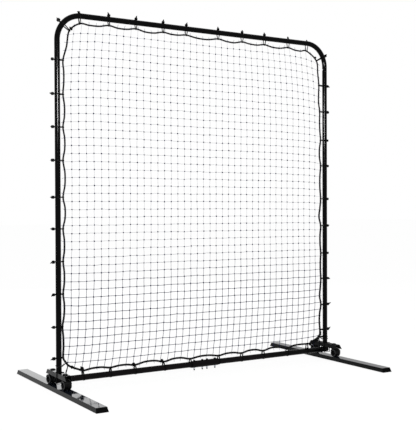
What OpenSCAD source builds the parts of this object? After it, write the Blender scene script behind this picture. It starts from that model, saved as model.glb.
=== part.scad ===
// Pitch-back rebounder: tube frame, knotted net on a border rope, two foot rails, four twin-wheel casters.
// Millimetres, +Z up. X runs along the crossbar, Y along the foot rails, origin on the floor at the centre.

/* [Frame] */
// Distance between the two posts, centre to centre
post_spacing = 1917; // [1400:1:2400]
// Height of the top bar's centre line
frame_height = 2118; // [1400:1:2600]
// Outer diameter of the posts, corners and top bar
tube_d = 31.8; // [25:0.1:45]
// Wall of the posts and top bar
tube_wall = 1.8; // [1.2:0.1:3]
// Centre-line radius of the two top corners
corner_r = 147; // [90:1:220]
// Length of the reduced end of a corner inside its neighbours
spigot_len = 60; // [30:1:90]
// Height of the crossbar's centre line
crossbar_z = 61; // [45:0.5:90]
// Outer diameter of the crossbar
crossbar_d = 34.9; // [28:0.1:48]
// How far the crossbar runs past each post
crossbar_over = 15.5; // [5:0.5:18]
// Length of the coupler in the middle of the crossbar
coupler_len = 190; // [120:1:260]
// Outer diameter of the coupler
coupler_d = 42.4; // [38:0.1:55]
// Diameter of the four coupler bolts
bolt_d = 8; // [5:0.5:10]

/* [Snap buttons] */
// Diameter of the push buttons under the top corners
button_d = 8; // [5:0.5:10]
// How far a button can be pushed in
button_travel = 4.5; // [2:0.1:5]

/* [Foot rails] */
// Length of a foot rail on the floor
rail_len = 1200; // [700:5:1600]
// Width of a foot rail at the floor
rail_base_w = 70; // [50:1:100]
// Width of a foot rail's top face
rail_top_w = 62; // [50:1:90]
// Height of a foot rail
rail_h = 25.4; // [15:0.1:40]
// Wall of a foot rail
rail_wall = 2; // [1:0.1:3]
// How far the mitred ends lean back at the top
rail_mitre = 12; // [0:1:40]
// How far a rail's centre lies outside its post's centre
rail_out = 5; // [0:0.5:10]

/* [Brackets and casters] */
// Length of a bracket's top plate
bracket_len = 260; // [220:1:340]
// Width of a bracket
bracket_w = 40; // [36:0.5:60]
// Height of a bracket's top face
bracket_z = 105; // [98:0.5:125]
// Sheet thickness of a bracket
bracket_t = 2.5; // [1.5:0.1:4]
// Distance from the post's centre to each caster's swivel axis
stem_y = 92; // [90:1:112]
// Diameter of a caster wheel
wheel_d = 50; // [40:1:50]
// Width over a caster's two wheels
caster_w = 44; // [40:1:54]
// Distance from the swivel axis to the wheel axle
trail = 16; // [6:0.5:18]

/* [Net] */
// Diameter of the border rope
rope_d = 9; // [5:0.1:10]
// How far the rope bows in between two ties
scallop = 10; // [0:0.5:25]
// Width of the net's cords
net_cord = 4.5; // [3:0.1:6]
// Thickness of the net
net_t = 3; // [2:0.1:4]
// Net columns
net_cols = 16; // [4:1:16]
// Net rows
net_rows = 18; // [4:1:18]

/* [Hidden] */

$fn = 40;
e = 0.01;
px = post_spacing / 2;
tr = tube_d / 2;
ti = tr - tube_wall;
cr = crossbar_d / 2;
co = coupler_d / 2;
seam_z = frame_height - corner_r;
seam_x = px - corner_r;
spigot_r = ti - 0.05;
spigot_in = spigot_r - 1.5;
button_z = seam_z - 18;
button_r = button_d / 2;
bolt_r = bolt_d / 2;
bolt_x = [-75, -17, 17, 75];
half_rail = rail_len / 2;
skirt_z = crossbar_z + cr + 0.1;
wheel_r = wheel_d / 2;
run_gap = 0.4;
axle_z = rail_h + run_gap + wheel_r;
hood_r = axle_z < skirt_z - 27 ? wheel_r + 2.3 : skirt_z - 0.4 - axle_z;
stem_r = 5;
boss_r = min(16.5, bracket_w / 2 - bracket_t - 1);
dish = 8;
web_t = 5;
wheel_in = web_t / 2 + 0.6;
stem_low = bracket_z - 21;
axle_r = 3;
rope_r = rope_d / 2;

black = [0.07, 0.07, 0.08];
dark = [0.12, 0.12, 0.13];
grey = [0.35, 0.35, 0.37];
zinc = [0.75, 0.76, 0.78];
cord = [0.16, 0.16, 0.17];

// Where the ties hold the rope, along each side of the frame
tie_left = [185, 360, 544, 727, 911, 1089, 1296, 1483, 1667, 1859];
tie_right = [195, 364, 542, 714, 899, 1081, 1304, 1477, 1669, 1845];
tie_top = [-822, -640, -465, -283, -122, 108, 288, 462, 652, 806];
tie_bottom = [-811, -641, -480, -285, -103, 103, 276, 445, 638, 803];

// Extra tie at the rope's bottom right corner, as its height and stand-off
low_tie_right = [146, 46.5];

// How far the rope stands off the tube's centre line at tie i of each side
function off_left(i) = i == 0 ? 26 : i == 1 ? 23 : 26 + i;
function off_right(i) = i == 0 ? 44 : i == 9 ? 49 : i == 8 ? 42 : 35.5;
function off_top(i) = i == 0 ? 44 : i == 9 ? 51 : 34 + i;
function off_bottom(i) = i == 9 ? 48 : 38 - 0.4 * i;

// Corner ties, as the angle round the corner's centre and the stand-off
corner_tie_left = [141.5, 54];
corner_tie_right = [26.5, 61];
function corner_mid(s) = [s * seam_x, seam_z];
function corner_rope(s, t) = corner_mid(s) + (corner_r - t[1]) * [cos(t[0]), sin(t[0])];

// Points of the rope at the ties, anticlockwise from the bottom left, as [x, z]
function side_bottom() = [for (i = [0:9]) [tie_bottom[i], crossbar_z + off_bottom(i)]];
function side_right() = [for (i = [0:9]) [px - off_right(i), tie_right[i]]];
function side_top() = [for (i = [9:-1:0]) [tie_top[i], frame_height - off_top(i)]];
function side_left() = [for (i = [9:-1:0]) [off_left(i) - px, tie_left[i]]];

// One side with its bows: two points between each pair of ties, moved in along n; ph shifts their depths
function bowed(p, n, ph) = [
  for (i = [0:len(p) - 2]) for (k = [0:2])
    let (t = k / 3, b = scallop * (0.8 + 0.45 * sin(140 * i + ph)))
    p[i] * (1 - t) + p[i + 1] * t + n * b * 1.1 * sin(180 * t)
];
function last(p) = p[len(p) - 1];

// The whole rope, closed
rope_path = concat(
  bowed(side_bottom(), [0, 1], 0), [last(side_bottom())],
  [[px - 108, 109], [px - 73, 123], [px - 53, 140], [px - 45, 165]],
  bowed(side_right(), [-1, 0], 0), [last(side_right())],
  [[px - 58, 1925], corner_rope(1, corner_tie_right)],
  bowed(side_top(), [0, -1], 0), [last(side_top())],
  [corner_rope(-1, corner_tie_left), [57 - px, 1940]],
  bowed(side_left(), [1, 0], 230), [last(side_left())],
  [[40 - px, 158], [56 - px, 138], [81 - px, 124], [116 - px, 110]]
);

// A closed tube along a flat path in the X-Z plane
function unit(v) = v / norm(v);
function tangent(p, i) = unit(p[(i + 1) % len(p)] - p[(i + len(p) - 1) % len(p)]);
function ring(p, i, r, s) =
  let (t = tangent(p, i), n = [t[1], -t[0]])
  [for (k = [0:s - 1]) let (a = 360 * k / s)
    [p[i][0] + r * cos(a) * n[0], r * sin(a), p[i][1] + r * cos(a) * n[1]]];
function tube_points(p, r, s) = [for (i = [0:len(p) - 1]) each ring(p, i, r, s)];
function tube_faces(n, s) = [
  for (i = [0:n - 1]) for (k = [0:s - 1])
    let (a = i * s + k, b = i * s + (k + 1) % s,
         c = ((i + 1) % n) * s + (k + 1) % s, d = ((i + 1) % n) * s + k)
    each [[a, b, c], [a, c, d]]
];
module closed_tube(p, r, s) {
  polyhedron(tube_points(p, r, s), tube_faces(len(p), s), convexity = 8);
}

module pipe(r_out, r_in, len) {
  difference() {
    cylinder(r = r_out, h = len);
    translate([0, 0, -1])
      cylinder(r = r_in, h = len + 2);
  }
}

module along_x(x) {
  translate([x, 0, 0])
    rotate([0, 90, 0])
      children();
}

// ---- frame ----

module top_bar() {
  color(black)
    translate([0, 0, frame_height])
      along_x(-seam_x)
        pipe(tr, ti, 2 * seam_x);
}

// Bent corner with a reduced end at both of its joints; s is -1 on the left
module corner(s) {
  color(black)
    mirror([s < 0 ? 1 : 0, 0, 0])
      difference() {
        union() {
          translate([seam_x, 0, seam_z])
            rotate([90, 0, 0])
              rotate_extrude(angle = 90, $fn = 72)
                translate([corner_r, 0])
                  circle(r = tr, $fn = 28);
          translate([px, 0, seam_z - spigot_len])
            cylinder(r = spigot_r, h = spigot_len, $fn = 28);
          translate([0, 0, frame_height])
            along_x(seam_x - spigot_len)
              cylinder(r = spigot_r, h = spigot_len, $fn = 28);
        }
        translate([seam_x, 0, seam_z])
          rotate([90, 0, 0])
            rotate_extrude(angle = 90, $fn = 72)
              translate([corner_r, 0])
                circle(r = spigot_in, $fn = 28);
        translate([px, 0, seam_z - spigot_len - 1])
          cylinder(r = spigot_in, h = spigot_len + 1, $fn = 28);
        translate([0, 0, frame_height])
          along_x(seam_x - spigot_len - 1)
            cylinder(r = spigot_in, h = spigot_len + 1, $fn = 28);
        translate([0, 0, button_z])
          along_x(px - tr - 5)
            cylinder(r = button_r + 0.05, h = tr);
      }
}
module corner_left() { corner(-1); }
module corner_right() { corner(1); }

// Post: slips over the corner's reduced end, saddle-cut and welded on the crossbar
module post(s) {
  color(black)
    mirror([s < 0 ? 1 : 0, 0, 0])
      difference() {
        translate([px, 0, crossbar_z])
          pipe(tr, ti, seam_z - crossbar_z);
        along_x(px - 60)
          translate([-crossbar_z, 0, 0])
            cylinder(r = cr + e, h = 120);
        translate([0, 0, button_z])
          along_x(px - tr - 5)
            cylinder(r = button_r + 0.05, h = tr);
      }
}
module post_left() { post(-1); }
module post_right() { post(1); }

// Half of the crossbar, from the middle to its end past the post
module crossbar(s) {
  color(black)
    mirror([s < 0 ? 1 : 0, 0, 0])
      difference() {
        translate([0, 0, crossbar_z])
          along_x(0.5)
            pipe(cr, cr - 2, px + crossbar_over - 0.5);
        for (x = [bolt_x[2], bolt_x[3]])
          translate([x, 0, crossbar_z - 30])
            cylinder(r = bolt_r + 0.05, h = 60);
      }
}
module crossbar_left() { crossbar(-1); }
module crossbar_right() { crossbar(1); }

module crossbar_coupler() {
  color(black)
    difference() {
      translate([0, 0, crossbar_z])
        along_x(-coupler_len / 2)
          pipe(co, cr + 0.05, coupler_len);
      for (x = bolt_x)
        translate([x, 0, crossbar_z - 30])
          cylinder(r = bolt_r + 0.05, h = 60);
    }
}

module coupler_bolts() {
  color(dark)
    for (x = bolt_x)
      translate([x, 0, crossbar_z]) {
        translate([0, 0, -co - 16])
          cylinder(r = bolt_r, h = 2 * co + 16 + e, $fn = 24);
        translate([0, 0, co])
          cylinder(r = 7.5, h = 5.3, $fn = 6);
      }
}

module coupler_nuts() {
  color(zinc)
    for (x = bolt_x)
      translate([x, 0, crossbar_z - co - 6.5])
        difference() {
          cylinder(r = 7.5, h = 6.5, $fn = 6);
          translate([0, 0, -1])
            cylinder(r = bolt_r, h = 9, $fn = 24);
        }
}

// Cup-shaped plug in the crossbar's end, with a flange
module crossbar_plug(s) {
  color(dark)
    mirror([s < 0 ? 1 : 0, 0, 0])
      translate([0, 0, crossbar_z])
        along_x(px + crossbar_over)
          difference() {
            union() {
              cylinder(r = cr - 0.2, h = 2.5);
              translate([0, 0, -16])
                cylinder(r = cr - 2.05, h = 16 + e);
            }
            translate([0, 0, -13])
              cylinder(r = cr - 4, h = 20);
          }
}
module crossbar_plug_left() { crossbar_plug(-1); }
module crossbar_plug_right() { crossbar_plug(1); }

// Sheet channel with sloping ends, over the crossbar and round the foot of the post
module bracket(s) {
  half = bracket_len / 2;
  low = half + (bracket_z - skirt_z) * 0.83;
  color(black)
    mirror([s < 0 ? 1 : 0, 0, 0])
      translate([px, 0, 0])
        difference() {
          rotate([90, 0, 90])
            linear_extrude(bracket_w, center = true)
              polygon([[-low, skirt_z], [low, skirt_z], [half, bracket_z], [-half, bracket_z]]);
          translate([0, 0, bracket_z - bracket_t - 50])
            cube([bracket_w - 2 * bracket_t, 2 * low + 10, 100], center = true);
          translate([0, 0, bracket_z - 10])
            cylinder(r = tr + 0.05, h = 20);
          for (y = [-stem_y, stem_y])
            translate([0, y, bracket_z - 10])
              cylinder(r = stem_r + 0.05, h = 20);
        }
}
module bracket_left() { bracket(-1); }
module bracket_right() { bracket(1); }

// ---- snap buttons ----

module snap_button(s) {
  color(zinc)
    mirror([s < 0 ? 1 : 0, 0, 0])
      translate([px, 0, button_z])
        rotate([0, -90, 0])
          rotate_extrude($fn = 24)
            polygon([
              [0, 7.5], [button_r + 1.5, 7.5], [button_r + 1.5, 9], [button_r, 9],
              [button_r, tr + 1.2], [button_r * 0.8, tr + 2.6], [button_r * 0.45, tr + 3.3], [0, tr + 3.5]
            ]);
}
module snap_button_left() { snap_button(-1); }
module snap_button_right() { snap_button(1); }

// Leaf spring behind the button, folded against the far wall of the tube
module button_spring(s) {
  tip = button_travel - 6.7;
  color(zinc)
    mirror([s < 0 ? 1 : 0, 0, 0])
      translate([px, 0, button_z])
        rotate([90, 0, 0])
          linear_extrude(6, center = true)
            polygon([
              [12.1, -30], [11.3, -30], [11.3, -4], [tip, 4], [tip, 6], [tip + 0.8, 6],
              [tip + 0.8, 4.5], [12.1, -3.5]
            ]);
}
module button_spring_left() { button_spring(-1); }
module button_spring_right() { button_spring(1); }

// ---- foot rails ----

module rail_section(d) {
  a = rail_base_w / 2 - d;
  b = rail_top_w / 2 - d;
  polygon([[-a, d], [a, d], [b, rail_h - d], [-b, rail_h - d]]);
}

// The length of rail between two mitre planes, set back by i0 and i1 from the end
module rail_piece(s, d, y0, y1, t0, t1) {
  translate([s * (px + rail_out), 0, 0])
    intersection() {
      rotate([90, 0, 0])
        linear_extrude(rail_len + 10, center = true)
          rail_section(d);
      rotate([90, 0, 90])
        linear_extrude(rail_base_w + 10, center = true)
          polygon([[y0, 0], [y1, 0], [t1, rail_h], [t0, rail_h]]);
    }
}

module foot_rail(s) {
  a = half_rail - 3;
  color(black)
    difference() {
      rail_piece(s, 0, -a, a, rail_mitre - a, a - rail_mitre);
      translate([s * (px + rail_out), 0, 0])
        rotate([90, 0, 0])
          linear_extrude(rail_len + 10, center = true)
            rail_section(rail_wall);
    }
}
module foot_rail_left() { foot_rail(-1); }
module foot_rail_right() { foot_rail(1); }

// Plug: a flat face on the mitre with a tongue inside the rail; f is -1 at the front
module rail_plug(s, f) {
  a = half_rail;
  color(dark)
    mirror([0, f > 0 ? 1 : 0, 0]) {
      rail_piece(s, 0, -a, 3 - a, rail_mitre - a, rail_mitre + 3 - a);
      rail_piece(s, rail_wall + 0.1, 2.9 - a, 25 - a, rail_mitre + 2.9 - a, 25 - a);
    }
}
module rail_plug_left_front() { rail_plug(-1, -1); }
module rail_plug_left_rear() { rail_plug(-1, 1); }
module rail_plug_right_front() { rail_plug(1, -1); }
module rail_plug_right_rear() { rail_plug(1, 1); }

// ---- net, rope and ties ----

module border_rope() {
  color(black)
    closed_tube(rope_path, rope_r, 8);
}

module net() {
  w = 2 * px - 66;
  z0 = crossbar_z + 38;
  h = frame_height - 40 - z0;
  cx = w / net_cols;
  cz = h / net_rows;
  color(cord)
    rotate([90, 0, 0])
      linear_extrude(net_t, center = true)
        difference() {
          offset(delta = -rope_r - 0.1)
            polygon(rope_path);
          intersection() {
            offset(delta = -rope_r - 0.1 - net_cord)
              polygon(rope_path);
            for (i = [0:net_cols - 1]) for (j = [0:net_rows - 1])
              translate([-w / 2 + i * cx + net_cord / 2, z0 + j * cz + net_cord / 2])
                square([cx - net_cord, cz - net_cord]);
          }
        }
}

// Outline of a loop held open by a tube of radius r and the rope, d apart along +X
function loop_points(d, r, q, t) =
  let (a = acos((r - q) / d), st = (180 - a) / 3)
  concat(
    [for (k = [0:6]) let (g = a + k * st) (r / cos(st / 2) + t) * [cos(g), sin(g)]],
    [for (k = [-1:1]) let (g = k * a) [d, 0] + (q / cos(a / 2) + t) * [cos(g), sin(g)]]
  );

// Cable tie in the X-Y plane: band, head and cut tail at angle a. The head sits at the tube's far side
// from the rope, or past the rope, or on the band between them, or behind the tube on its +Y side
module tie(d, r, a, seat = "tube") {
  head = seat == "rope" ? -d - rope_r - 5 : -r - 5;
  color(black) {
    linear_extrude(4.8, center = true)
      difference() {
        polygon(loop_points(d, r + 0.15, rope_r + 0.45, 1.4));
        polygon(loop_points(d, r + 0.15, rope_r + 0.45, 0));
      }
    translate([0, seat == "band" ? -0.72 * r : 0, 0])
      rotate([0, 0, seat == "behind" ? -90 : 0])
        mirror([seat == "rope" || seat == "band" ? 1 : 0, 0, 0]) {
          translate([head, 0, 0])
            cube([8, 8, 8], center = true);
          translate([head - 2, 0, 0])
            rotate([0, a, 0])
              translate([-15, 0, 0])
                rotate([90, 0, 0])
                  linear_extrude(2.4, center = true)
                    polygon([[15, -3.4], [15, 3.4], [0, 0.8], [0, -0.8]]);
        }
  }
}

// Ties on the posts lie flat, at height z; those on the bars stand upright, at x
module tie_on_post(s, z, d, a, seat = "tube") {
  translate([s * px, 0, z])
    mirror([s > 0 ? 1 : 0, 0, 0])
      tie(d, tr, a, seat);
}
module tie_on_bar(x, z, up, d, r, a, seat = "tube") {
  translate([x, 0, z])
    rotate([0, up ? -90 : 90, 0])
      tie(d, r, a, seat);
}
module corner_tie(s, t, a) {
  translate([s * seam_x, 0, seam_z])
    rotate([0, -t[0], 0])
      translate([corner_r, 0, 0])
        rotate([0, 180, 0])
          tie(t[1], tr, a);
}

module ties_top() {
  for (i = [0:9])
    tie_on_bar(tie_top[i], frame_height, false, off_top(i), tr, 24 * sin(115 * i + 70));
  corner_tie(-1, corner_tie_left, -12);
  corner_tie(1, corner_tie_right, 14);
}
module ties_left() {
  for (i = [0:9])
    tie_on_post(-1, tie_left[i], off_left(i), 26 * sin(100 * i + 20));
}
module ties_right() {
  for (i = [0:9])
    tie_on_post(1, tie_right[i], off_right(i), 26 * sin(130 * i + 50));
  tie_on_post(1, low_tie_right[0], low_tie_right[1], 100, "rope");
}
// Where the heads of the bottom ties sit, and the angles of their tails
function bottom_seat(i) = i == 9 ? "band" : i == 0 || i == 2 || i == 3 ? "rope" : "behind";
function bottom_tail(i) = i == 9 ? 80 : 24 * sin(80 * i + 10);

module ties_bottom() {
  for (i = [0:9])
    tie_on_bar(tie_bottom[i], crossbar_z, true, off_bottom(i), cr, bottom_tail(i), bottom_seat(i));
}

// Rubber strap hung round the bracket, close in front of the post and the crossbar
module keeper_strap(s) {
  g = 0.15;
  t = 3;
  low = crossbar_z - cr + 1.8;
  w = bracket_w + 2 * g;
  h = bracket_z - low + 2 * g;
  color(black)
    translate([s * px, -cr - 3.2, (bracket_z + low) / 2])
      rotate([90, 0, 0])
        linear_extrude(5, center = true)
          difference() {
            offset(r = t, $fn = 24)
              square([w, h], center = true);
            square([w, h], center = true);
          }
}
module keeper_strap_left() { keeper_strap(-1); }
module keeper_strap_right() { keeper_strap(1); }

// ---- casters; x and y are those of the swivel axis, c turns the caster about it ----

turn_lf = 2;
turn_lr = 188;
turn_rf = 4;
turn_rr = 176;

module caster_place(x, y, c) {
  translate([x, y, 0])
    rotate([0, 0, c])
      children();
}

module stem(x, y) {
  color(zinc)
    translate([x, y, stem_low])
      cylinder(r = stem_r, h = bracket_z + 4 - stem_low);
}

module cap_nut(x, y) {
  color(dark)
    translate([x, y, bracket_z])
      difference() {
        rotate_extrude($fn = 32)
          polygon([[0, 0], [15, 0], [15, 1.8], [13.4, 4.2], [9.6, 6], [4.8, 6.8], [0, 7]]);
        translate([0, 0, -1])
          cylinder(r = stem_r, h = 5);
      }
}

// Hood: swivel boss, middle web round the axle and a guard over both wheels
module hood(x, y, c) {
  color(dark)
    caster_place(x, y, c)
      difference() {
        union() {
          translate([0, 0, axle_z + 12])
            cylinder(r = boss_r, h = bracket_z - bracket_t - 0.5 - axle_z - 12, $fn = 32);
          translate([0, -trail, axle_z])
            rotate([90, 0, 90])
              linear_extrude(caster_w, center = true)
                intersection() {
                  circle(r = hood_r, $fn = 48);
                  translate([-40, 9])
                    square([80, 40]);
                }
          translate([0, -trail, axle_z])
            rotate([90, 0, 90])
              linear_extrude(web_t, center = true) {
                circle(r = wheel_r - 3, $fn = 48);
                polygon([
                  [10, -8], [trail + boss_r, 20], [trail + boss_r, 30], [4, hood_r - 0.5],
                  [-14, hood_r - 6], [-wheel_r + 7, 0]
                ]);
              }
        }
        for (s = [-1, 1])
          translate([s * (20 + web_t / 2), -trail, axle_z])
            rotate([0, 90, 0])
              cylinder(r = wheel_r + 0.6, h = 40, center = true, $fn = 48);
        translate([-20, -trail, axle_z])
          rotate([0, 90, 0])
            cylinder(r = axle_r + 0.01, h = 40);
        translate([0, 0, stem_low - 0.5])
          cylinder(r = stem_r + 0.05, h = 40);
      }
}

module axle(x, y, c) {
  half = caster_w / 2 - dish + 2;
  color(zinc)
    caster_place(x, y, c)
      translate([0, -trail, axle_z])
        rotate([0, 90, 0]) {
          translate([0, 0, -half])
            cylinder(r = axle_r, h = 2 * half);
          for (s = [-1, 1])
            translate([0, 0, s * (half - 0.75) - 0.75])
              cylinder(r = 5, h = 1.5, $fn = 24);
        }
}

// Wheel with a flat rim round its deep outer dish; s is -1 or 1 for the side of the hood it is on
module wheel(x, y, c, s) {
  o = caster_w / 2;
  color(grey)
    caster_place(x, y, c)
      translate([0, -trail, axle_z])
        rotate([0, s * 90, 0])
          rotate_extrude($fn = 36)
            polygon([
              [axle_r + 0.05, wheel_in], [wheel_r - 1, wheel_in], [wheel_r, wheel_in + 1],
              [wheel_r, o - 1.6], [wheel_r - 1.2, o], [wheel_r * 0.7, o],
              [wheel_r * 0.66, o - dish], [axle_r + 0.05, o - dish]
            ]);
}

module stem_lf() { stem(-px, -stem_y); }
module stem_lr() { stem(-px, stem_y); }
module stem_rf() { stem(px, -stem_y); }
module stem_rr() { stem(px, stem_y); }
module cap_nut_lf() { cap_nut(-px, -stem_y); }
module cap_nut_lr() { cap_nut(-px, stem_y); }
module cap_nut_rf() { cap_nut(px, -stem_y); }
module cap_nut_rr() { cap_nut(px, stem_y); }
module hood_lf() { hood(-px, -stem_y, turn_lf); }
module hood_lr() { hood(-px, stem_y, turn_lr); }
module hood_rf() { hood(px, -stem_y, turn_rf); }
module hood_rr() { hood(px, stem_y, turn_rr); }
module axle_lf() { axle(-px, -stem_y, turn_lf); }
module axle_lr() { axle(-px, stem_y, turn_lr); }
module axle_rf() { axle(px, -stem_y, turn_rf); }
module axle_rr() { axle(px, stem_y, turn_rr); }
module wheel_lf_a() { wheel(-px, -stem_y, turn_lf, -1); }
module wheel_lf_b() { wheel(-px, -stem_y, turn_lf, 1); }
module wheel_lr_a() { wheel(-px, stem_y, turn_lr, -1); }
module wheel_lr_b() { wheel(-px, stem_y, turn_lr, 1); }
module wheel_rf_a() { wheel(px, -stem_y, turn_rf, -1); }
module wheel_rf_b() { wheel(px, -stem_y, turn_rf, 1); }
module wheel_rr_a() { wheel(px, stem_y, turn_rr, -1); }
module wheel_rr_b() { wheel(px, stem_y, turn_rr, 1); }

top_bar();
corner_left();
corner_right();
post_left();
post_right();
crossbar_left();
crossbar_right();
crossbar_coupler();
coupler_bolts();
coupler_nuts();
crossbar_plug_left();
crossbar_plug_right();
bracket_left();
bracket_right();
snap_button_left();
snap_button_right();
button_spring_left();
button_spring_right();
foot_rail_left();
foot_rail_right();
rail_plug_left_front();
rail_plug_left_rear();
rail_plug_right_front();
rail_plug_right_rear();
net();
border_rope();
ties_top();
ties_left();
ties_right();
ties_bottom();
keeper_strap_left();
keeper_strap_right();
stem_lf();
stem_lr();
stem_rf();
stem_rr();
cap_nut_lf();
cap_nut_lr();
cap_nut_rf();
cap_nut_rr();
hood_lf();
hood_lr();
hood_rf();
hood_rr();
axle_lf();
axle_lr();
axle_rf();
axle_rr();
wheel_lf_a();
wheel_lf_b();
wheel_lr_a();
wheel_lr_b();
wheel_rf_a();
wheel_rf_b();
wheel_rr_a();
wheel_rr_b();
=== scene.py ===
"""Looks of the pitch-back rebounder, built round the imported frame.

The axes are the CAD's own, +Z up. Forms are drawn in millimetres, and new pieces are in metres."""
import itertools
import math

import bpy
import numpy as np
from mathutils import Matrix, Vector


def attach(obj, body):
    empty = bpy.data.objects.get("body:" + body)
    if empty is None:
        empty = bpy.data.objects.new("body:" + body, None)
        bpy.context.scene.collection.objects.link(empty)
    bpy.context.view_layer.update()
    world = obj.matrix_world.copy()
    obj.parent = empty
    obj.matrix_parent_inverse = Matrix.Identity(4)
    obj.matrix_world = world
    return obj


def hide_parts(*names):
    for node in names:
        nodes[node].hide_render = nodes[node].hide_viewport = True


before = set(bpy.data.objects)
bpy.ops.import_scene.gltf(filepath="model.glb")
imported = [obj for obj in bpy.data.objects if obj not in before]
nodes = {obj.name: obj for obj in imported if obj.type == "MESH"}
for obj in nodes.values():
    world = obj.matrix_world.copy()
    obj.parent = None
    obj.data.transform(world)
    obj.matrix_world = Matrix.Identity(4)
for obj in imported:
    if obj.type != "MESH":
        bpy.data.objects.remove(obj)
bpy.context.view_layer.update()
rng = np.random.default_rng(7)
MM = 0.001

# ---- sizes shared with the part's source, in millimetres ----
PX = 958.5
TOP_Z = 2118.0
CROSS_Z = 61.0
CORNER_R = 147.0
SEAM_X = PX - CORNER_R
SEAM_Z = TOP_Z - CORNER_R
TUBE_R = 15.9
CROSS_R = 17.45
ROPE_R = 4.5
SCALLOP = 10.0  # how far the rope bows inward between two ties

# ---- camera, fitted to the photograph ----
CAMERA_PLACE = (-2.7383, -4.5097, 1.0435)
CAMERA_TURN = (31.533, 0.722, -0.209)  # yaw, pitch and roll in degrees
SENSOR, LENS = 36, 71.09


def make_camera():
    data = bpy.data.cameras.new("camera")
    data.sensor_fit = "AUTO"
    data.sensor_width = SENSOR
    data.lens = LENS
    data.clip_end = 200
    cam = bpy.data.objects.new("camera", data)
    yaw, pitch, roll = (math.radians(a) for a in CAMERA_TURN)
    turn = (
        Matrix.Rotation(-yaw, 4, "Z")
        @ Matrix.Rotation(math.pi / 2 - pitch, 4, "X")
        @ Matrix.Rotation(roll, 4, "Z")
    )
    cam.matrix_world = Matrix.Translation(CAMERA_PLACE) @ turn
    bpy.context.scene.collection.objects.link(cam)
    bpy.context.scene.camera = cam


make_camera()


# ---- node helpers ----
def grey(level, blue):
    """A near-grey colour: red and green at one level, blue at its own."""
    return (level, level, blue)


class Shader:
    """A material with a Principled shader and short calls for the nodes around it."""

    def __init__(self, name, **values):
        self.mat = bpy.data.materials.new(name)
        self.mat.use_nodes = True
        self.tree = self.mat.node_tree
        self.bsdf = self.tree.nodes["Principled BSDF"]
        for key, value in values.items():
            self.bsdf.inputs[key.replace("_", " ")].default_value = value
        self.coords = self.tree.nodes.new("ShaderNodeTexCoord").outputs["Object"]

    def node(self, kind, **props):
        made = self.tree.nodes.new("ShaderNode" + kind)
        for key, value in props.items():
            setattr(made, key, value)
        return made

    def link(self, a, b):
        self.tree.links.new(a, b)

    def scaled(self, scale):
        made = self.node("Mapping")
        made.inputs["Scale"].default_value = scale
        self.link(self.coords, made.inputs["Vector"])
        return made.outputs["Vector"]

    def axes(self, vector):
        """The X, Y and Z of a vector, each as a value."""
        made = self.node("SeparateXYZ")
        self.link(vector, made.inputs[0])
        return made.outputs

    def facing(self):
        """The X, Y and Z of the surface's normal, in the object's own axes."""
        return self.axes(self.node("TexCoord").outputs["Normal"])

    def noise(self, scale, detail, rough=0.5, vector=None):
        made = self.node("TexNoise")
        made.inputs["Scale"].default_value = scale
        made.inputs["Detail"].default_value = detail
        made.inputs["Roughness"].default_value = rough
        self.link(vector or self.coords, made.inputs["Vector"])
        return made.outputs["Fac"]

    def ramp(self, value, low, high, a, b):
        made = self.node("MapRange")
        for key, x in (("From Min", low), ("From Max", high), ("To Min", a), ("To Max", b)):
            made.inputs[key].default_value = x
        self.link(value, made.inputs["Value"])
        return made.outputs["Result"]

    def maths(self, kind, a, b=0.0):
        made = self.node("Math", operation=kind)
        for i, x in enumerate((a, b)):
            if isinstance(x, (int, float)):
                made.inputs[i].default_value = x
            else:
                self.link(x, made.inputs[i])
        return made.outputs[0]

    def mix(self, factor, a, b):
        made = self.node("Mix", data_type="RGBA")
        self.link(factor, made.inputs[0])
        for i, x in ((6, a), (7, b)):
            if isinstance(x, tuple):
                made.inputs[i].default_value = (*x, 1)
            else:
                self.link(x, made.inputs[i])
        return made.outputs[2]

    def bump(self, height, strength, distance, before=None):
        made = self.node("Bump")
        made.inputs["Strength"].default_value = strength
        made.inputs["Distance"].default_value = distance
        self.link(height, made.inputs["Height"])
        if before is not None:
            self.link(before, made.inputs["Normal"])
        return made.outputs["Normal"]

    def to(self, socket, value):
        self.link(value, self.bsdf.inputs[socket])


# ---- materials ----
# pattern sizes that several materials share, as a noise texture's scale in one metre
MOTTLING = 9
ORANGE_PEEL = 340
MOULD_GRAIN = 1800
SCUFFS = (60, 60, 9)
# height of the relief in metres: on paint and plastic, and on metal, rails and single fibres
RELIEF = 0.0002
FINE_RELIEF = 0.0001
# painted shade: the crossbar's right end is painted black, standing in for shade that falls there
PAINTED_SHADE_X = (0.47, 0.6)  # metres along the crossbar over which its right end's colour sets in


def coat_material(name, dark, light, rough, peel, specular, painted_shade=None):
    """Baked paint on steel: faint mottling, orange peel, a few fine scuffs.

    Where a painted shade is given, the bar's right end is painted that darker colour as painted
    shade."""
    s = Shader(name, Specular_IOR_Level=specular)
    cloud = s.noise(MOTTLING, 4)
    colour = s.mix(s.ramp(cloud, 0.3, 0.7, 0, 1), dark, light)
    # painted shade: darker towards the bar's right end
    if painted_shade:
        across = s.axes(s.coords)["X"]
        colour = s.mix(s.ramp(across, *PAINTED_SHADE_X, 0, 1), colour, painted_shade)
    s.to("Base Color", colour)
    scuff = s.noise(1, 6, 0.7, s.scaled(SCUFFS))
    base = s.ramp(cloud, 0.3, 0.7, *rough)
    s.to("Roughness", s.maths("ADD", base, s.ramp(scuff, 0.58, 0.75, 0, 0.12)))
    s.to("Normal", s.bump(s.noise(ORANGE_PEEL, 2), peel, RELIEF))
    return s.mat


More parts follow.
